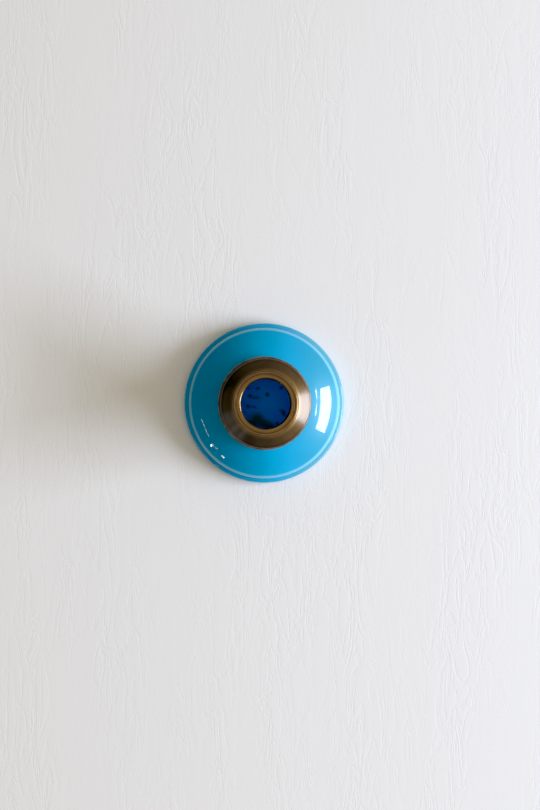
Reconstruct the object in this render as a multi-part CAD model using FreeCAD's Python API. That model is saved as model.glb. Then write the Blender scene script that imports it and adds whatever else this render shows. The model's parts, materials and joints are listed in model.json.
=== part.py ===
"""Capped glass insulator: a low glass shell, a tall bronze cap cemented on its neck, and a brass
socket bush that screws out of the cap. Millimetres, +Z up, origin on the axis at the rest plane.

Every piece is turned about the Z axis, so each one is an outline in (radius, height) that is
revolved. An outline is a list of corners (radius, height, rounding), and a rounding of 0 is sharp.
"""

import FreeCAD, Part
import math
import os

V = FreeCAD.Vector
OUT = "parts"

# ---- driving dimensions ----
HEIGHT = 62.0            # rest plane to the bush's top face
RIM_R = 44.15            # outside of the shell's skirt
DOME_EDGE_R = 41.65      # where the dome's rolled edge stands upright
DOME_EDGE_Z = 8.4
ROLL_R = 3.0             # rounding of the dome's edge
DOME_SPHERE_R = 64.0     # the dome is part of this sphere
NECK_R = 19.8            # glass neck inside the cap
NECK_TOP = 49.0
CAP_R = 23.6             # cap wall at the shoulder
CAP_WAIST_R = 22.9       # cap wall halfway down
BEAD_R = 25.4            # bead round the cap's foot
CONE_TOP_R = 17.3        # where the cap's conical top begins
CONE_SLOPE = math.radians(35.0)
BORE_R = 12.7            # one inch socket
FLANGE_R = 17.1          # bush flange
THREAD_R = 15.0          # bush thread, nominal M30
THREAD_LENGTH = 8.0
RUNNING_CLEARANCE = 0.05
BASE_THREAD_R = 5.1      # tapped M12 hole, at its crests

# ---- glass shell ----
LEDGE_INNER_Z = 7.0      # sloping ledge on the skirt, at the foot of the dome
LEDGE_OUTER_Z = 6.1
DOME_WALL = 6.0
SKIRT_WALL_R = 38.0      # inside of the skirt
RIM_INNER_R = 40.0       # inner edge of the flat that the shell stands on
RIM_CHAMFER_Z = 1.4      # where the skirt's inner wall turns out to that edge
RIM_ROUNDING = 1.6       # outer corners of the skirt
ROOF_EDGE_R = 37.0       # where the hollow's roof meets the skirt
ROOF_EDGE_DROP = 1.2     # and how far the skirt's inner wall starts below it
PETTICOAT_R = 23.0       # tube round the base insert
PETTICOAT_Z = 1.0        # its lower end stays clear of the rest plane
PETTICOAT_TAPER = 0.8
SOFT_EDGE = 0.5          # ordinary rounding of a moulded glass corner
WELL_R = 16.8            # glass neck's inside
WELL_FLOOR = 37.8
KEY_COUNT = 4            # cement keys turned round the neck
KEY_DEPTH = 0.7
KEY_PITCH = 5.4
KEY_FIRST_Z = 28.0
KEY_HALF_WIDTH = 1.3

# ---- inner thimble ----
THIMBLE_R = 16.0
THIMBLE_BORE_R = 14.0
THIMBLE_BOTTOM = 38.6
THIMBLE_FLOOR = 41.0

# ---- cap ----
CAP_INNER_R = 21.2
CROWN_UNDERSIDE = 50.0
FOOT_TOP_Z = 22.6        # underside of the foot at the cap's inner wall
FOOT_EDGE_Z = 21.0       # and at the bead's outer edge
BEAD_TOP = 24.1
BEAD_FILLET_Z = 25.5     # where the cap wall starts above the bead
WAIST_Z = 41.0
WAIST_ROUNDING = 60.0    # the wall is one long shallow curve
WASHER_SEAT = 59.0       # floor of the recess that the flange sits in
RECESS_R = FLANGE_R + RUNNING_CLEARANCE
CAP_LIP = 0.9            # cap's lip stands this far below the bush's top face

# ---- bush and washer ----
FLANGE_Z = 59.8
LIP_ROUNDING = 1.3
FLANGE_ROUNDING = 0.8
GROOVE_R = 15.45         # fine groove turned in the flange's top face
GROOVE_WIDTH = 0.5
GROOVE_DEPTH = 0.3
WASHER_OUTER_R = 17.0
WASHER_INNER_R = 15.05

# ---- gaskets and base ----
GASKET_DROP = 1.6        # deep enough to reach the dome everywhere under the foot
CROWN_GASKET_R = 14.4
GASKET_INSET = 0.4       # the gasket stops this far inside the bead
SOCKET_R = 15.5          # hole in the petticoat for the base insert
SOCKET_TOP = 30.0
SOCKET_CORNER = 3.0
INSERT_R = 11.2
INSERT_TOP = 27.6
INSERT_HOLE_TOP = 17.6
INSERT_GROOVES = 5       # grooves round the insert, for the cement
INSERT_GROOVE_DEPTH = 0.9
INSERT_GROOVE_PITCH = 4.8
INSERT_GROOVE_FLAT = 1.8
INSERT_FIRST_Z = 3.6
CEMENT_SHRINK = 0.4      # cement stands this far inside the mouth that it fills


def point(radius, height):
    return V(radius, 0, height)


def unit(vector):
    return vector.multiply(1.0 / vector.Length)


def corner(before, at, after, rounding):
    """The arc that rounds one corner, and the two points where it meets the straight runs."""
    back = unit(before - at)
    ahead = unit(after - at)
    half = back.getAngle(ahead) / 2.0
    reach = rounding / math.tan(half)
    start = at + back * reach
    end = at + ahead * reach
    middle = at + unit(back + ahead) * (rounding / math.sin(half) - rounding)
    return start, end, Part.Arc(start, middle, end).toShape()


def path(corners):
    """Edges along a list of (radius, height, rounding), from the first corner to the last."""
    places = [point(r, z) for r, z, _ in corners]
    edges = []
    here = places[0]
    for i in range(1, len(places) - 1):
        rounding = corners[i][2]
        if rounding == 0:
            edges.append(Part.LineSegment(here, places[i]).toShape())
            here = places[i]
            continue
        start, end, arc = corner(places[i - 1], places[i], places[i + 1], rounding)
        if (start - here).Length > 1e-6:
            edges.append(Part.LineSegment(here, start).toShape())
        edges.append(arc)
        here = end
    edges.append(Part.LineSegment(here, places[-1]).toShape())
    return edges


def turned(edges):
    """The solid that a closed outline sweeps out round the Z axis."""
    wire = Part.Wire(Part.__sortEdges__(edges))
    return Part.Face(wire).revolve(V(0, 0, 0), V(0, 0, 1), 360)


def closed(corners):
    return path(corners + [corners[0]])


def ring(inner, outer, bottom, top):
    """A plain ring, or a disc where inner is 0."""
    solid = Part.makeCylinder(outer, top - bottom, V(0, 0, bottom))
    if inner:
        solid = solid.cut(Part.makeCylinder(inner, top - bottom, V(0, 0, bottom)))
    return solid


def sphere_centre_z():
    """The dome's sphere touches the rolled edge from outside, which fixes its centre."""
    apart = DOME_SPHERE_R - ROLL_R
    return DOME_EDGE_Z - math.sqrt(apart ** 2 - (DOME_EDGE_R - ROLL_R) ** 2)


def sphere_height(sphere_radius, radius):
    return sphere_centre_z() + math.sqrt(sphere_radius ** 2 - radius ** 2)


def sphere_arc(sphere_radius, from_radius, to_radius):
    """Arc about the dome's own centre, between two distances from the axis."""
    places = []
    for radius in (from_radius, (from_radius + to_radius) / 2.0, to_radius):
        places.append(point(radius, sphere_height(sphere_radius, radius)))
    return Part.Arc(*places).toShape()


def rolled_edge(end_radius):
    """Arc from the dome's upright edge up to where the sphere takes over."""
    centre_r = DOME_EDGE_R - ROLL_R
    end_angle = math.acos((end_radius - centre_r) / ROLL_R)
    halfway = end_angle / 2.0
    middle = point(centre_r + ROLL_R * math.cos(halfway), DOME_EDGE_Z + ROLL_R * math.sin(halfway))
    end = point(end_radius, sphere_height(DOME_SPHERE_R, end_radius))
    return Part.Arc(point(DOME_EDGE_R, DOME_EDGE_Z), middle, end).toShape()


def key_grooves():
    """Rings to take out of the neck, which the cap's cement keys into."""
    cuts = []
    for i in range(KEY_COUNT):
        z = KEY_FIRST_Z + i * KEY_PITCH
        cuts.append(turned(closed([
            (NECK_R - KEY_DEPTH, z - KEY_HALF_WIDTH / 2, 0),
            (NECK_R + 1.0, z - KEY_HALF_WIDTH * 1.5, 0),
            (NECK_R + 1.0, z + KEY_HALF_WIDTH * 1.5, 0),
            (NECK_R - KEY_DEPTH, z + KEY_HALF_WIDTH / 2, 0),
        ])))
    return cuts


def glass_shell():
    roof_sphere_r = DOME_SPHERE_R - DOME_WALL
    roll_end_r = (DOME_EDGE_R - ROLL_R) * DOME_SPHERE_R / (DOME_SPHERE_R - ROLL_R)
    roof_edge_z = sphere_height(roof_sphere_r, ROOF_EDGE_R)
    skirt = path([
        (ROOF_EDGE_R, roof_edge_z, 0),
        (SKIRT_WALL_R, roof_edge_z - ROOF_EDGE_DROP, 0.8),
        (SKIRT_WALL_R, RIM_CHAMFER_Z, SOFT_EDGE),
        (RIM_INNER_R, 0, SOFT_EDGE),
        (RIM_R, 0, RIM_ROUNDING),
        (RIM_R, LEDGE_OUTER_Z, RIM_ROUNDING),
        (DOME_EDGE_R, LEDGE_INNER_Z, SOFT_EDGE),
        (DOME_EDGE_R, DOME_EDGE_Z, 0),
    ])
    roll = rolled_edge(roll_end_r)
    dome = sphere_arc(DOME_SPHERE_R, roll_end_r, NECK_R)
    inside = path([
        (NECK_R, sphere_height(DOME_SPHERE_R, NECK_R), 0),
        (NECK_R, NECK_TOP, 0.8),
        (WELL_R, NECK_TOP, 0.4),
        (WELL_R, WELL_FLOOR, 1.0),
        (0, WELL_FLOOR, 0),
        (0, SOCKET_TOP, 0),
        (SOCKET_R, SOCKET_TOP, SOCKET_CORNER),
        (SOCKET_R, PETTICOAT_Z, SOFT_EDGE),
        (PETTICOAT_R - PETTICOAT_TAPER, PETTICOAT_Z, 1.0),
        (PETTICOAT_R, sphere_height(roof_sphere_r, PETTICOAT_R), 0),
    ])
    roof = sphere_arc(roof_sphere_r, ROOF_EDGE_R, PETTICOAT_R)
    shell = turned(skirt + [roll, dome] + inside + [roof])
    for groove in key_grooves():
        shell = shell.cut(groove)
    return shell


def inner_thimble():
    return turned(closed([
        (0, THIMBLE_BOTTOM, 0),
        (THIMBLE_R, THIMBLE_BOTTOM, 1.2),
        (THIMBLE_R, NECK_TOP, 0.6),
        (THIMBLE_BORE_R, NECK_TOP, 0.6),
        (THIMBLE_BORE_R, THIMBLE_FLOOR, 1.6),
        (0, THIMBLE_FLOOR, 0),
    ]))


def thimble_cement(shell, thimble):
    """Cement between the thimble and the glass neck, below the neck's top face."""
    cup = ring(0, THIMBLE_BORE_R, THIMBLE_FLOOR, HEIGHT)
    filling = ring(0, WELL_R, WELL_FLOOR, NECK_TOP - CEMENT_SHRINK * 2)
    return filling.cut(thimble).cut(cup).cut(shell)


def bronze_cap():
    lip_z = HEIGHT - CAP_LIP
    shoulder_z = lip_z - (CAP_R - CONE_TOP_R) * math.tan(CONE_SLOPE)
    thread_bore = THREAD_R + RUNNING_CLEARANCE / 2
    return turned(closed([
        (RECESS_R, WASHER_SEAT, 0),
        (RECESS_R, lip_z, 0),
        (CONE_TOP_R, lip_z, 0.15),
        (CAP_R, shoulder_z, 0.9),
        (CAP_WAIST_R, WAIST_Z, WAIST_ROUNDING),
        (CAP_R, BEAD_FILLET_Z, 1.2),
        (BEAD_R, BEAD_TOP, 1.1),
        (BEAD_R, FOOT_EDGE_Z, 0.5),
        (CAP_INNER_R, FOOT_TOP_Z, 0),
        (CAP_INNER_R, CROWN_UNDERSIDE, 1.0),
        (thread_bore, CROWN_UNDERSIDE, 0),
        (thread_bore, WASHER_SEAT, 0),
    ]))


def seat_gasket(shell):
    """Soft ring between the cap's foot and the dome, with the dome's own curve below."""
    foot_slope = (FOOT_TOP_Z - FOOT_EDGE_Z) / (BEAD_R - CAP_INNER_R)
    outer_r = BEAD_R - GASKET_INSET
    blank = turned(closed([
        (CAP_INNER_R, FOOT_TOP_Z, 0),
        (outer_r, FOOT_EDGE_Z + GASKET_INSET * foot_slope, 0),
        (outer_r, FOOT_EDGE_Z - GASKET_DROP, 0),
        (CAP_INNER_R, FOOT_TOP_Z - GASKET_DROP, 0),
    ]))
    return blank.cut(shell)


def cap_cement(shell):
    """Cement between the neck and the cap, down to the gasket's inner edge."""
    blank = ring(NECK_R - KEY_DEPTH, CAP_INNER_R, FOOT_TOP_Z, CROWN_UNDERSIDE - 1.0)
    return blank.cut(shell)


def crown_gasket():
    return ring(CROWN_GASKET_R, NECK_R, NECK_TOP, CROWN_UNDERSIDE)


def socket_bush():
    thread_end = WASHER_SEAT - THREAD_LENGTH
    body = turned(closed([
        (BORE_R, thread_end, 0.3),
        (THREAD_R - RUNNING_CLEARANCE / 2, thread_end, 0.5),
        (THREAD_R - RUNNING_CLEARANCE / 2, FLANGE_Z, 0),
        (FLANGE_R, FLANGE_Z, 0),
        (FLANGE_R, HEIGHT, FLANGE_ROUNDING),
        (BORE_R, HEIGHT, LIP_ROUNDING),
    ]))
    half_width = GROOVE_WIDTH / 2
    groove = ring(GROOVE_R - half_width, GROOVE_R + half_width, HEIGHT - GROOVE_DEPTH, HEIGHT)
    return body.cut(groove)


def bush_washer():
    return ring(WASHER_INNER_R, WASHER_OUTER_R, WASHER_SEAT, FLANGE_Z)


def base_insert():
    """Metal insert with grooves round it and a blind tapped hole that opens downwards."""
    waist = INSERT_R - INSERT_GROOVE_DEPTH
    side = [(INSERT_R, PETTICOAT_Z, 0.3)]
    for i in range(INSERT_GROOVES):
        z = INSERT_FIRST_Z + i * INSERT_GROOVE_PITCH
        floor = z + INSERT_GROOVE_DEPTH
        side += [
            (INSERT_R, z, 0),
            (waist, floor, 0),
            (waist, floor + INSERT_GROOVE_FLAT, 0),
            (INSERT_R, floor + INSERT_GROOVE_FLAT + INSERT_GROOVE_DEPTH, 0),
        ]
    return turned(closed([(BASE_THREAD_R, PETTICOAT_Z, 0.6)] + side + [
        (INSERT_R, INSERT_TOP, 0.5),
        (0, INSERT_TOP, 0),
        (0, INSERT_HOLE_TOP, 0),
        (BASE_THREAD_R, INSERT_HOLE_TOP, 0),
    ]))


def base_cement(shell, insert):
    """Cement round and above the insert, kept out of the tapped hole."""
    hole = ring(0, BASE_THREAD_R, PETTICOAT_Z, INSERT_HOLE_TOP)
    filling = ring(0, SOCKET_R, PETTICOAT_Z + CEMENT_SHRINK, SOCKET_TOP)
    return filling.cut(insert).cut(hole).cut(shell)


def build():
    shell = glass_shell()
    thimble = inner_thimble()
    insert = base_insert()
    return {
        "glass_shell": shell,
        "inner_thimble": thimble,
        "thimble_cement": thimble_cement(shell, thimble),
        "bronze_cap": bronze_cap(),
        "cap_cement": cap_cement(shell),
        "seat_gasket": seat_gasket(shell),
        "crown_gasket": crown_gasket(),
        "socket_bush": socket_bush(),
        "bush_washer": bush_washer(),
        "base_insert": insert,
        "base_cement": base_cement(shell, insert),
    }


def main():
    os.makedirs(OUT, exist_ok=True)
    for name, shape in build().items():
        shape.exportStep(os.path.join(OUT, name + ".step"))
        print(name, "solids", len(shape.Solids), "valid", shape.isValid(), "mm3", round(shape.Volume, 1))


main()
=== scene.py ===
"""Looks for the capped glass insulator: cased turquoise glass, a dark turned bronze cap, a golden
screwed bush and a deep blue cup below it, on a pale wrinkled sheet lit by one big window."""

import json
import math
from functools import cached_property

import bmesh
import bpy
from mathutils import Matrix, Vector


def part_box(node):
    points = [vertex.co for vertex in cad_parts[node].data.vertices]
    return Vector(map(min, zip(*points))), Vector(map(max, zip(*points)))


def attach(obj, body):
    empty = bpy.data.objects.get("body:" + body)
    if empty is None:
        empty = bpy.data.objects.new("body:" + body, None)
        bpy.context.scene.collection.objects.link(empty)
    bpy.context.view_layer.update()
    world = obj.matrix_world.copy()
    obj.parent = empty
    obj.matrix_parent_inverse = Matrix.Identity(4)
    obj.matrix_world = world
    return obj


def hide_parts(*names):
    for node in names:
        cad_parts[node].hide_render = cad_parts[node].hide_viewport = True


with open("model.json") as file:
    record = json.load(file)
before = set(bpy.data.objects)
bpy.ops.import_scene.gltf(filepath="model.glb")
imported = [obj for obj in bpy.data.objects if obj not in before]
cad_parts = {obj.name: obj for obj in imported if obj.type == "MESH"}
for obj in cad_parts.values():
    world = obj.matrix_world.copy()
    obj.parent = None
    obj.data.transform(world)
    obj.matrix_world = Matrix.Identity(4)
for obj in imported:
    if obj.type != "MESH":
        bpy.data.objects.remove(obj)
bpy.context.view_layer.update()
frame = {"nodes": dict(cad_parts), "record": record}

MM = 0.001
TURN = 2.0 * math.pi
NODES = frame["nodes"]


# ---------------------------------------------------------------- sizes, in metres
def reach(node):
    """Outside radius of a turned node, with its lowest and highest point."""
    low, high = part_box(node)
    return (high[0] - low[0]) / 2.0, low[2], high[2]


RIM_R, _, _ = reach("glass_shell")
BEAD_R, _, CAP_TOP = reach("bronze_cap")
FLANGE_R, BARREL_END_Z, BUSH_TOP = reach("socket_bush")
_, _, FLANGE_Z = reach("bush_washer")
_, THIMBLE_BOTTOM, _ = reach("inner_thimble")
BORE_R = frame["record"]["mounts"][0]["dims"]["r_mm"] * MM
PITCH = frame["record"]["behaviour"]["couplings"][0]["ratio"] * TURN

LEDGE_R = RIM_R - 2.5 * MM              # foot of the dome, where the skirt's ledge begins
THIMBLE_FLOOR_Z = THIMBLE_BOTTOM + 2.4 * MM

THREAD_R = 14.975 * MM                  # crests of the bush's thread
THREAD_DEPTH = 0.75 * MM
THREAD_START = 0.8 * MM                 # plain barrel below the thread
THREAD_STOP = 0.6 * MM                  # plain barrel between the thread and the flange

BARREL_END_ROUNDING = (0.3 * MM, 0.5 * MM)      # at the bore and at the thread
FLANGE_ROUNDING = 0.8 * MM
MOUTH_ROUNDING = 1.3 * MM
GROOVE_R = 15.45 * MM                   # fine groove turned in the bush's top face
GROOVE_HALF_WIDTH = 0.25 * MM
GROOVE_HALF_FLOOR = 0.12 * MM
GROOVE_DEPTH = 0.3 * MM
GROOVE_ROUNDING = 0.06 * MM

ARC_STEPS = 7                           # straight runs in each rounded corner
LONGEST_RUN = 0.2 * MM                  # of the bush's outline, so that the thread is smooth
BUSH_SEGMENTS = 240

TABLE_SIZE = 3.0
SENSOR = 36.0                           # camera sensor, in millimetres
CAMERA_HEIGHT = 0.9
VIEW_LENGTH = 0.4513                    # length of table that the frame's long side takes in
CAMERA_FROM = (-0.0114, 0.0042)
CAMERA_TO = (0.0033, -0.00108)


# ---------------------------------------------------------------- node helpers
def rgb(red, green, blue):
    return (red, green, blue, 1.0)


class Nodes:
    """Short names for the nodes that the materials and the room's light are made of."""

    def __init__(self, tree, coordinates):
        self.tree = tree
        self.place = self.add("ShaderNodeTexCoord").outputs[coordinates]

    def add(self, kind, **settings):
        node = self.tree.nodes.new(kind)
        for key, value in settings.items():
            setattr(node, key, value)
        return node

    def link(self, source, target):
        """Sets a socket to a number or a colour, or links another node's output to it."""
        if isinstance(source, (int, float, tuple)):
            target.default_value = source
        else:
            self.tree.links.new(source, target)

    @cached_property
    def axes(self):
        """The X, Y and Z coordinates."""
        parts = self.add("ShaderNodeSeparateXYZ")
        self.link(self.place, parts.inputs[0])
        return tuple(parts.outputs)

    @cached_property
    def radius(self):
        """Distance from the Z axis."""
        x, y, _ = self.axes
        return self.math("SQRT", self.plus(self.times(x, x), self.times(y, y)))

    def math(self, operation, *values):
        node = self.add("ShaderNodeMath", operation=operation)
        for value, socket in zip(values, node.inputs):
            self.link(value, socket)
        return node.outputs[0]

    def plus(self, first, second):
        return self.math("ADD", first, second)

    def times(self, first, second):
        return self.math("MULTIPLY", first, second)

    def centred(self, value):
        """Brings noise between 0 and 1 to lie about 0."""
        return self.math("SUBTRACT", value, 0.5)

    def span(self, value, low, high, to_low=0.0, to_high=1.0):
        """Maps low..high smoothly to to_low..to_high, clamped."""
        node = self.add("ShaderNodeMapRange", interpolation_type="SMOOTHSTEP")
        for item, socket in zip((value, low, high, to_low, to_high), node.inputs):
            self.link(item, socket)
        return node.outputs[0]

    def band(self, value, low, high, soft):
        """1 between low and high, falling to 0 over soft on each side."""
        rise = self.span(value, low - soft, low)
        fall = self.span(value, high, high + soft, 1.0, 0.0)
        return self.times(rise, fall)


class Shader(Nodes):
    """A procedural Principled material. The keywords are values of its sockets."""

    def __init__(self, name, **sockets):
        self.material = bpy.data.materials.new(name)
        self.material.use_nodes = True
        super().__init__(self.material.node_tree, "Object")
        self.bsdf = self.tree.nodes["Principled BSDF"]
        for socket, value in sockets.items():
            self.bsdf.inputs[socket.replace("_", " ")].default_value = value

    def set(self, socket, value):
        self.link(value, self.bsdf.inputs[socket])

    def vector(self, x, y, z):
        node = self.add("ShaderNodeCombineXYZ")
        for value, socket in zip((x, y, z), node.inputs):
            self.link(value, socket)
        return node.outputs[0]

    def noise(self, scale, detail, roughness, at=None, distortion=0.0):
        node = self.add("ShaderNodeTexNoise")
        self.link(self.place if at is None else at, node.inputs["Vector"])
        node.inputs["Scale"].default_value = scale
        node.inputs["Detail"].default_value = detail
        node.inputs["Roughness"].default_value = roughness
        node.inputs["Distortion"].default_value = distortion
        return node.outputs["Fac"]

    def rings(self, scale):
        """Turning marks: noise that only changes with radius and height."""
        return self.noise(scale, 3.0, 0.7, at=self.vector(self.radius, self.axes[2], 0.0))

    def mix(self, amount, first, second):
        node = self.add("ShaderNodeMix", data_type="RGBA")
        self.link(amount, node.inputs["Factor"])
        self.link(first, node.inputs["A"])
        self.link(second, node.inputs["B"])
        return node.outputs["Result"]

    def bump(self, height, distance, strength):
        node = self.add("ShaderNodeBump")
        node.inputs["Strength"].default_value = strength
        node.inputs["Distance"].default_value = distance
        self.link(height, node.inputs["Height"])
        self.link(node.outputs["Normal"], self.bsdf.inputs["Normal"])


# ---------------------------------------------------------------- materials
def turquoise_glass():
    """Opaque cased glass, with painted light and shade: a painted reflection as a pale line round
    the dome's edge, painted shade on the left and in the corner at the dome's foot, and a painted
    sheen on the ledge's right.
    """
    s = Shader("turquoise_glass", IOR=1.45, Coat_Weight=0.6, Coat_Roughness=0.38)
    x, _, height = s.axes
    radius = s.radius
    cloud = s.noise(55.0, 5.0, 0.55, distortion=0.6)
    streak = s.noise(160.0, 3.0, 0.6)
    body = s.mix(s.span(cloud, 0.35, 0.65), rgb(0.0, 0.39, 0.72), rgb(0.0, 0.425, 0.78))
    body = s.mix(s.span(streak, 0.55, 0.75, 0.0, 0.25), body, rgb(0.0, 0.455, 0.82))

    # Painted shade deepens the colour on the left; the right is painted duller against the
    # window's light. Dark at the foot.
    body = s.mix(s.span(x, -34.0 * MM, 4.0 * MM, 0.5, 0.0), body, rgb(0.0, 0.26, 0.66))
    body = s.mix(s.span(x, 8.0 * MM, 36.0 * MM, 0.0, 0.7), body, rgb(0.035, 0.31, 0.45))
    body = s.mix(s.span(height, 1.0 * MM, 5.0 * MM, 0.75, 0.0), body, rgb(0.0, 0.15, 0.30))

    # Painted shade as a dark line in the corner at the dome's foot, a painted reflection as the
    # pale line above it, and a painted sheen on the ledge's right.
    painted_corner_shade = s.times(s.band(radius, LEDGE_R, LEDGE_R + 0.5 * MM, 0.4 * MM),
                   s.span(height, 5.5 * MM, 8.0 * MM, 0.5, 0.0))
    body = s.mix(painted_corner_shade, body, rgb(0.0, 0.27, 0.52))
    painted_rim_reflection = s.times(s.band(radius, LEDGE_R - 1.1 * MM, LEDGE_R - 0.4 * MM, 0.8 * MM),
                     s.span(height, 7.2 * MM, 8.2 * MM, 0.0, 0.8))
    body = s.mix(painted_rim_reflection, body, rgb(0.21, 0.60, 0.86))
    painted_ledge_sheen = s.times(s.span(radius, LEDGE_R - 0.4 * MM, LEDGE_R),
                   s.span(x, 0.0, 30.0 * MM, 0.0, 0.5))
    s.set("Base Color", s.mix(painted_ledge_sheen, body, rgb(0.20, 0.50, 0.62)))

    polish = s.span(streak, 0.3, 0.8, 0.03, 0.08)
    s.set("Roughness", s.span(radius, LEDGE_R - 2.6 * MM, LEDGE_R - 1.4 * MM, polish, 0.12))
    s.bump(s.noise(60.0, 2.0, 0.4), 0.3 * MM, 0.35)
    return s.material


# On the cup's floor: x, y, half length and half width in millimetres, angle in degrees, strength.
STAINS = (
    (1.1, 4.7, 0.9, 0.9, 0, 0.9),
    (8.2, 7.9, 0.9, 0.8, 0, 0.85),
    (-3.8, 7.9, 0.9, 0.9, 0, 0.8),
    (-8.6, 7.9, 0.8, 0.7, 0, 0.5),
    (-8.1, 3.8, 1.2, 1.1, 0, 0.95),
    (-5.4, 3.2, 2.6, 0.6, -10, 0.7),
    (-9.0, -1.4, 1.1, 0.9, 0, 0.8),
    (-6.2, -2.2, 2.4, 0.6, -8, 0.6),
    (-10.3, -4.6, 0.6, 0.5, 0, 0.6),
    (9.4, -4.8, 2.0, 1.0, -48, 0.95),
    (6.0, -10.5, 0.8, 0.8, 0, 0.8),
    (-4.2, -8.4, 3.9, 2.9, -20, 1.0),
    (-1.0, -10.4, 5.0, 2.2, -16, 1.0),
    (2.0, -12.0, 3.6, 1.9, -10, 1.0),
    (-6.0, -10.0, 3.2, 3.0, 0, 1.0),
)


def stain(s, at, x, y, half_length, half_width, angle, strength):
    """A soft dark patch."""
    place = s.add("ShaderNodeMapping", vector_type="TEXTURE")
    s.link(at, place.inputs["Vector"])
    place.inputs["Location"].default_value = (x * MM, y * MM, 0.0)
    place.inputs["Rotation"].default_value = (0.0, 0.0, math.radians(angle))
    place.inputs["Scale"].default_value = (half_length * MM, half_width * MM, 1.0)
    length = s.add("ShaderNodeVectorMath", operation="LENGTH")
    s.link(place.outputs[0], length.inputs[0])
    return s.span(length.outputs["Value"], 0.3, 1.7, strength, 0.0)


def cobalt_glass():
    """Deep blue glass, with ragged dark stains on the cup's floor and painted shade that darkens
    its left side.
    """
    s = Shader("cobalt_glass", IOR=1.3)
    x, y, height = s.axes
    cloud = s.noise(90.0, 4.0, 0.6, distortion=0.8)
    body = s.mix(s.span(cloud, 0.35, 0.7), rgb(0.0, 0.165, 0.90), rgb(0.0, 0.215, 1.0))
    # Painted shade: the blue darkens towards the left.
    body = s.mix(s.span(x, -12.0 * MM, 12.0 * MM, 0.4, 0.0), body, rgb(0.0, 0.12, 0.55))

    raggedness = 2.4 * MM
    ragged_x = s.plus(x, s.times(s.centred(s.noise(420.0, 3.0, 0.6)), raggedness))
    ragged_y = s.plus(y, s.times(s.centred(s.noise(310.0, 3.0, 0.6)), raggedness))
    at = s.vector(ragged_x, ragged_y, 0.0)
    dark = 0.0
    for patch in STAINS:
        dark = s.math("MAXIMUM", dark, stain(s, at, *patch))
    on_floor = s.span(height, THIMBLE_FLOOR_Z + 0.5 * MM, THIMBLE_FLOOR_Z + 2.5 * MM, 1.0, 0.0)
    s.set("Base Color", s.mix(s.times(dark, on_floor), body, rgb(0.002, 0.04, 0.03)))

    s.set("Roughness", s.span(cloud, 0.3, 0.8, 0.25, 0.4))
    s.bump(s.plus(cloud, s.times(dark, 1.5)), 0.4 * MM, 0.5)
    return s.material


def dark_bronze():
    """Brown patina with turning marks, brighter at the cap's top and rubbed on its edges."""
    s = Shader("dark_bronze", Metallic=1.0, Coat_Weight=0.85, Coat_Roughness=0.23)
    height = s.axes[2]
    marks = s.rings(2400.0)
    worn = s.rings(1350.0)
    patina = s.noise(70.0, 4.0, 0.5, distortion=0.4)
    body = s.mix(s.span(patina, 0.3, 0.7), rgb(0.100, 0.055, 0.015), rgb(0.150, 0.085, 0.026))
    body = s.mix(s.span(marks, 0.52, 0.75, 0.0, 0.5), body, rgb(0.08, 0.038, 0.01))
    body = s.mix(s.span(worn, 0.45, 0.6, 0.0, 0.75), body, rgb(0.055, 0.025, 0.006))
    top = s.span(height, CAP_TOP - 1.6 * MM, CAP_TOP - 0.1 * MM, 0.0, 0.8)
    body = s.mix(top, body, rgb(0.24, 0.135, 0.036))

    bead = s.band(s.radius, BEAD_R - 0.7 * MM, BEAD_R, 0.4 * MM)
    shoulder = s.times(s.band(s.radius, BEAD_R - 2.3 * MM, BEAD_R - 1.7 * MM, 0.3 * MM),
                       s.span(height, CAP_TOP - 6.0 * MM, CAP_TOP - 4.5 * MM, 0.0, 0.2))
    rubbed = s.times(s.math("MAXIMUM", bead, shoulder),
                     s.span(s.noise(300.0, 4.0, 0.6), 0.3, 0.65))
    s.set("Base Color", s.mix(rubbed, body, rgb(0.30, 0.20, 0.14)))

    s.set("Roughness", s.span(patina, 0.3, 0.7, 0.44, 0.55))
    relief = s.plus(s.times(worn, 2.5), s.times(s.noise(420.0, 5.0, 0.6), 0.4))
    s.bump(s.plus(marks, relief), 0.07 * MM, 0.75)
    return s.material


def golden_brass():
    """Tarnished gold with turning marks, darker in the groove of the bush's top face."""
    s = Shader("golden_brass", Metallic=1.0, Coat_Weight=1.0, Coat_Roughness=0.09)
    marks = s.rings(3000.0)
    tarnish = s.noise(110.0, 5.0, 0.55, distortion=0.4)
    body = s.mix(s.span(tarnish, 0.35, 0.65), rgb(0.19, 0.10, 0.017), rgb(0.25, 0.138, 0.028))
    body = s.mix(s.span(marks, 0.52, 0.75, 0.0, 0.5), body, rgb(0.13, 0.065, 0.014))
    body = s.mix(s.span(s.rings(1100.0), 0.45, 0.65, 0.0, 0.55), body, rgb(0.11, 0.052, 0.008))
    groove = s.band(s.radius, GROOVE_R - 0.2 * MM, GROOVE_R + 0.2 * MM, 0.25 * MM)
    s.set("Base Color", s.mix(s.times(groove, 0.3), body, rgb(0.07, 0.035, 0.01)))
    s.set("Roughness", s.span(tarnish, 0.3, 0.7, 0.24, 0.36))
    s.bump(marks, 0.05 * MM, 0.6)
    return s.material


def grained(name, dark, light, scale, roughness, relief):
    """Matt, granular material for cement, cork, fibre and rubber. relief is in millimetres."""
    s = Shader(name, Roughness=roughness)
    grain = s.noise(scale, 8.0, 0.7)
    spots = s.noise(scale * 0.3, 3.0, 0.5)
    mixed = s.plus(s.times(grain, 0.7), s.times(spots, 0.3))
    s.set("Base Color", s.mix(s.span(mixed, 0.36, 0.64), dark, light))
    s.bump(grain, relief * MM, 0.8)
    return s.material


def cast_iron():
    s = Shader("dull_iron", Metallic=0.85)
    spangle = s.noise(300.0, 5.0, 0.6)
    body = s.mix(s.span(spangle, 0.35, 0.65), rgb(0.17, 0.165, 0.16), rgb(0.30, 0.295, 0.29))
    s.set("Base Color", body)
    s.set("Roughness", s.span(spangle, 0.3, 0.7, 0.42, 0.62))
    s.bump(spangle, 0.1 * MM, 0.6)
    return s.material


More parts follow.
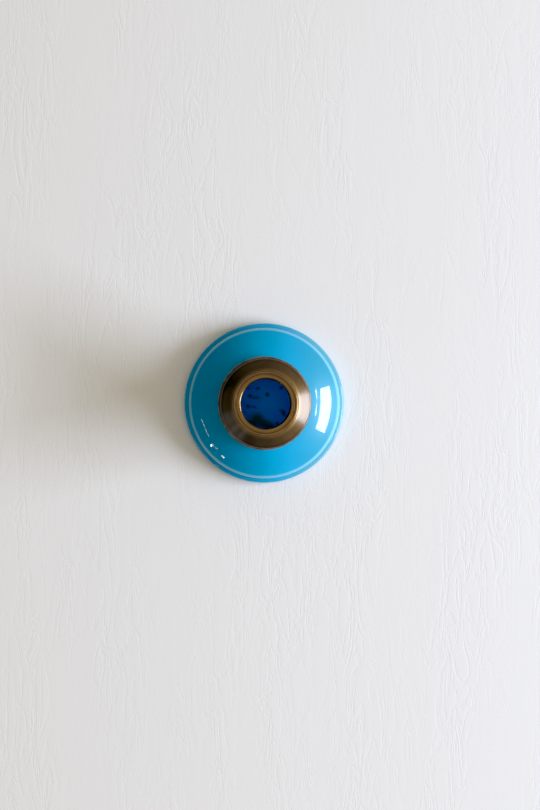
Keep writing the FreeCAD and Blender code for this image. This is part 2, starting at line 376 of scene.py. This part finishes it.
def paper():
    """Pale embossed sheet: fine wrinkles in patches, that run mostly along Y."""
    s = Shader("pale_sheet", Roughness=0.55)
    x, y, _ = s.axes
    stretched = s.vector(x, s.times(y, 0.2), 0.0)
    wrinkle = s.noise(125.0, 6.0, 0.6, at=stretched, distortion=1.0)
    crease = s.span(s.math("ABSOLUTE", s.centred(wrinkle)), 0.0, 0.05)
    patch = s.span(s.noise(26.0, 3.0, 0.6, at=stretched), 0.38, 0.64, 0.12, 1.0)
    fibre = s.noise(1500.0, 3.0, 0.6)
    tone = s.mix(s.span(fibre, 0.3, 0.7), rgb(0.885, 0.885, 0.905), rgb(0.925, 0.926, 0.948))
    s.set("Base Color", tone)
    s.bump(s.plus(s.times(crease, patch), s.times(fibre, 0.12)), 0.12 * MM, 0.4)
    return s.material


def paint_cad():
    """Gives the CAD's own pieces their materials. The bush's is on its visual piece."""
    cement = grained("cement", rgb(0.30, 0.28, 0.25), rgb(0.50, 0.47, 0.42),
                     scale=700.0, roughness=0.9, relief=0.2)
    cork = grained("cork", rgb(0.30, 0.17, 0.08), rgb(0.52, 0.33, 0.18),
                   scale=500.0, roughness=0.85, relief=0.2)
    red_fibre = grained("red_fibre", rgb(0.22, 0.04, 0.03), rgb(0.36, 0.08, 0.05),
                        scale=900.0, roughness=0.7, relief=0.1)
    rubber = grained("black_rubber", rgb(0.010, 0.010, 0.011), rgb(0.03, 0.03, 0.03),
                     scale=800.0, roughness=0.6, relief=0.05)
    materials = {
        "glass_shell": turquoise_glass(),
        "bronze_cap": dark_bronze(),
        "inner_thimble": cobalt_glass(),
        "thimble_cement": cement,
        "cap_cement": cement,
        "base_cement": cement,
        "crown_gasket": cork,
        "bush_washer": red_fibre,
        "seat_gasket": rubber,
        "base_insert": cast_iron(),
    }
    for node, material in materials.items():
        for slot in NODES[node].material_slots:
            slot.material = material


# ---------------------------------------------------------------- the bush
def rounded(corners):
    """Points along (radius, height, rounding) corners, each rounding as an arc."""
    points = []
    for i, (r, z, rounding) in enumerate(corners):
        at = Vector((r, z))
        if rounding == 0:
            points.append(at)
            continue
        back = (Vector(corners[i - 1][:2]) - at).normalized()
        ahead = (Vector(corners[i + 1][:2]) - at).normalized()
        half = back.angle(ahead) / 2.0
        centre = at + (back + ahead).normalized() * (rounding / math.sin(half))
        start = at + back * (rounding / math.tan(half)) - centre
        end = at + ahead * (rounding / math.tan(half)) - centre
        sweep = start.angle_signed(end)
        for k in range(ARC_STEPS + 1):
            angle = -sweep * k / ARC_STEPS
            c, s = math.cos(angle), math.sin(angle)
            points.append(centre + Vector((start.x * c - start.y * s, start.x * s + start.y * c)))
    return points


def subdivided(points, longest):
    """The same line with no run longer than longest."""
    finer = [points[0]]
    for a, b in zip(points, points[1:]):
        pieces = max(1, math.ceil((b - a).length / longest))
        for k in range(1, pieces + 1):
            finer.append(a.lerp(b, k / pieces))
    return finer


def lathe(name, points, segments, shift):
    """A closed outline turned about Z. shift(radius, height, angle) moves a point outwards."""
    bm = bmesh.new()
    rows = []
    for j in range(segments):
        angle = TURN * j / segments
        row = []
        for p in points:
            out = p.x + shift(p.x, p.y, angle)
            row.append(bm.verts.new((out * math.cos(angle), out * math.sin(angle), p.y)))
        rows.append(row)
    count = len(points)
    for j in range(segments):
        this, following = rows[j], rows[(j + 1) % segments]
        for i in range(count):
            k = (i + 1) % count
            bm.faces.new((this[i], following[i], following[k], this[k]))
    bmesh.ops.recalc_face_normals(bm, faces=bm.faces)
    for face in bm.faces:
        face.smooth = True
    mesh = bpy.data.meshes.new(name)
    bm.to_mesh(mesh)
    bm.free()
    piece = bpy.data.objects.new(name, mesh)
    bpy.context.scene.collection.objects.link(piece)
    return piece


def clamped(value):
    return min(1.0, max(0.0, value))


def thread_shift(radius, height, angle):
    """How far the bush's thread cuts in below its crests. It fades in over one turn at the
    barrel's end, and out over half a turn at the flange."""
    if abs(radius - THREAD_R) > 0.01 * MM:
        return 0.0
    fade_in = clamped((height - BARREL_END_Z - THREAD_START) / PITCH)
    fade_out = clamped((FLANGE_Z - THREAD_STOP - height) / (0.5 * PITCH))
    phase = (height / PITCH - angle / TURN) % 1.0
    flank = clamped(2.6 * abs(phase - 0.5) - 0.2)
    return -THREAD_DEPTH * flank * fade_in * fade_out


def bush():
    """The socket bush with its real helical thread. The outline starts and ends in the bore."""
    at_bore, at_thread = BARREL_END_ROUNDING
    mid_z = (BARREL_END_Z + BUSH_TOP) / 2.0
    outline = rounded([
        (BORE_R, mid_z, 0),
        (BORE_R, BARREL_END_Z, at_bore),
        (THREAD_R, BARREL_END_Z, at_thread),
        (THREAD_R, FLANGE_Z, 0),
        (FLANGE_R, FLANGE_Z, 0),
        (FLANGE_R, BUSH_TOP, FLANGE_ROUNDING),
        (GROOVE_R + GROOVE_HALF_WIDTH, BUSH_TOP, GROOVE_ROUNDING),
        (GROOVE_R + GROOVE_HALF_FLOOR, BUSH_TOP - GROOVE_DEPTH, 0),
        (GROOVE_R - GROOVE_HALF_FLOOR, BUSH_TOP - GROOVE_DEPTH, 0),
        (GROOVE_R - GROOVE_HALF_WIDTH, BUSH_TOP, GROOVE_ROUNDING),
        (BORE_R, BUSH_TOP, MOUTH_ROUNDING),
        (BORE_R, mid_z, 0),
    ])
    points = subdivided(outline, LONGEST_RUN)[:-1]
    piece = lathe("socket_bush_threaded", points, BUSH_SEGMENTS, thread_shift)
    piece.data.materials.append(golden_brass())
    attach(piece, "bush")
    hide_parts("socket_bush")


# ---------------------------------------------------------------- stage
def table():
    bpy.ops.mesh.primitive_grid_add(x_subdivisions=2, y_subdivisions=2, size=TABLE_SIZE)
    floor = bpy.context.object
    floor.name = "floor"
    floor.data.materials.append(paper())


def camera():
    """Looks almost straight down, with +Y up in the frame."""
    data = bpy.data.cameras.new("camera")
    data.sensor_fit = "VERTICAL"
    data.sensor_height = SENSOR
    data.sensor_width = SENSOR
    data.lens = SENSOR * CAMERA_HEIGHT / VIEW_LENGTH
    data.clip_start = 0.01
    eye = bpy.data.objects.new("camera", data)
    eye.location = (*CAMERA_FROM, CAMERA_HEIGHT)
    back = (eye.location - Vector((*CAMERA_TO, 0.0))).normalized()
    right = Vector((0.0, 1.0, 0.0)).cross(back).normalized()
    turned = Matrix((right, back.cross(right), back)).transposed()
    eye.rotation_euler = turned.to_euler()
    bpy.context.scene.collection.objects.link(eye)
    bpy.context.scene.camera = eye


NEAR, FAR = 1.6, 2.5                    # how far off the near and the far lights stand, in metres
COOL = (0.75, 0.83, 1.0)
WARM = (1.0, 0.97, 0.92)

# Name, azimuth, lowest and highest elevation, half width in degrees, distance, radiance, colour.
LIGHTS = (
    ("window", 6.0, 17.5, 30.2, 20.5, NEAR, 26.5, COOL),
    ("fanlight_back", -10.0, 33.8, 34.6, 6.0, NEAR, 45.0, COOL),
    ("fanlight_front", 7.5, 34.4, 35.2, 5.5, NEAR, 45.0, COOL),
    ("far_window", 157.0, 20.8, 21.3, 8.7, FAR, 14.0, WARM),
    ("far_sill", 138.5, 18.7, 19.1, 4.0, FAR, 12.0, WARM),
    ("far_lamp_left", 141.0, 16.0, 17.6, 1.0, FAR, 30.0, WARM),
    ("far_lamp_right", 126.6, 16.0, 17.2, 1.7, FAR, 30.0, WARM),
)


def light(name, azimuth, low, high, half_width, distance, radiance, colour):
    """An upright rectangle of light that faces the object. azimuth is from +X towards -Y."""
    a = math.radians(azimuth)
    bottom = distance * math.tan(math.radians(low))
    top = distance * math.tan(math.radians(high))
    width = 2.0 * distance * math.tan(math.radians(half_width))
    data = bpy.data.lights.new(name, "AREA")
    data.shape = "RECTANGLE"
    data.size = width
    data.size_y = top - bottom
    data.color = colour
    data.energy = radiance * math.pi * width * (top - bottom)
    lamp = bpy.data.objects.new(name, data)
    lamp.location = (distance * math.cos(a), -distance * math.sin(a), (top + bottom) / 2.0)
    inwards = Vector((-math.cos(a), math.sin(a), 0.0))
    lamp.rotation_euler = inwards.to_track_quat("-Z", "Y").to_euler()
    lamp.visible_camera = False
    bpy.context.scene.collection.objects.link(lamp)


def room():
    """Warm room light, by direction: dim walls, dimmest on the left, and a brighter ceiling."""
    world = bpy.data.worlds.new("room")
    world.use_nodes = True
    sky = Nodes(world.node_tree, "Generated")
    x, _, z = sky.axes
    left_half = sky.span(x, -0.7, 0.1, 0.02, 0.22)
    walls = sky.span(x, 0.0, 0.9, left_half, 0.52)
    background = sky.tree.nodes["Background"]
    background.inputs["Color"].default_value = rgb(1.0, 0.885, 0.67)
    sky.link(sky.span(z, 0.62, 0.90, walls, 0.70), background.inputs["Strength"])
    bpy.context.scene.world = world


def view_settings():
    settings = bpy.context.scene.view_settings
    settings.view_transform = "Standard"
    settings.look = "None"
    settings.exposure = 0.05
    settings.use_curve_mapping = True
    settings.curve_mapping.black_level = (0.016, 0.008, 0.004)
    settings.curve_mapping.update()


paint_cad()
bush()
table()
camera()
for row in LIGHTS:
    light(*row)
room()
view_settings()
